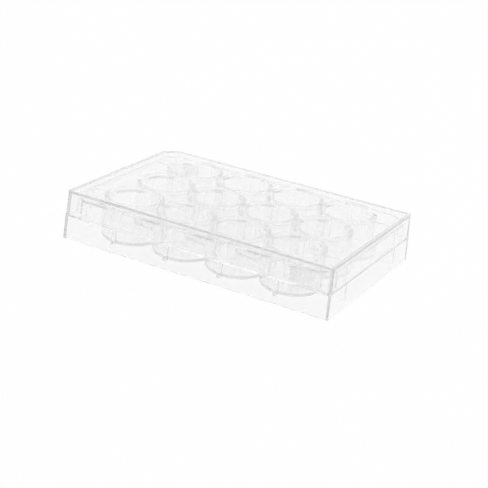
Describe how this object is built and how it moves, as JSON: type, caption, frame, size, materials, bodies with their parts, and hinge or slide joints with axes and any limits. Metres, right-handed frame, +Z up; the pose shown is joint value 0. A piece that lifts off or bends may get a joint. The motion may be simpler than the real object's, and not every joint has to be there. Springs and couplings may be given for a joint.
{
  "type": "bobbin box",
  "caption": "Clear rectangular box for sewing bobbins: a skirted tray of round open wells under a lift-off lid with one cut corner.",
  "frame": {"origin": "on the table, under the middle of the tray", "axes": "+X along the long side, +Y to the back (the lid's cut corner is at -X, +Y), +Z up"},
  "size_m": [0.1278, 0.0856, 0.022],
  "materials": {
    "tray_polystyrene": "clear, moulded, polished",
    "lid_polystyrene": "clear, moulded, polished"
  },
  "bodies": {
    "tray": {"well_tray": "tray_polystyrene"},
    "lid": {"lid": "lid_polystyrene"}
  },
  "joints": [
    {"name": "lid_lift", "type": "slide", "parent": "tray", "child": "lid", "axis": [0, 0, 1], "range_m": [0, 0.06]}
  ]
}
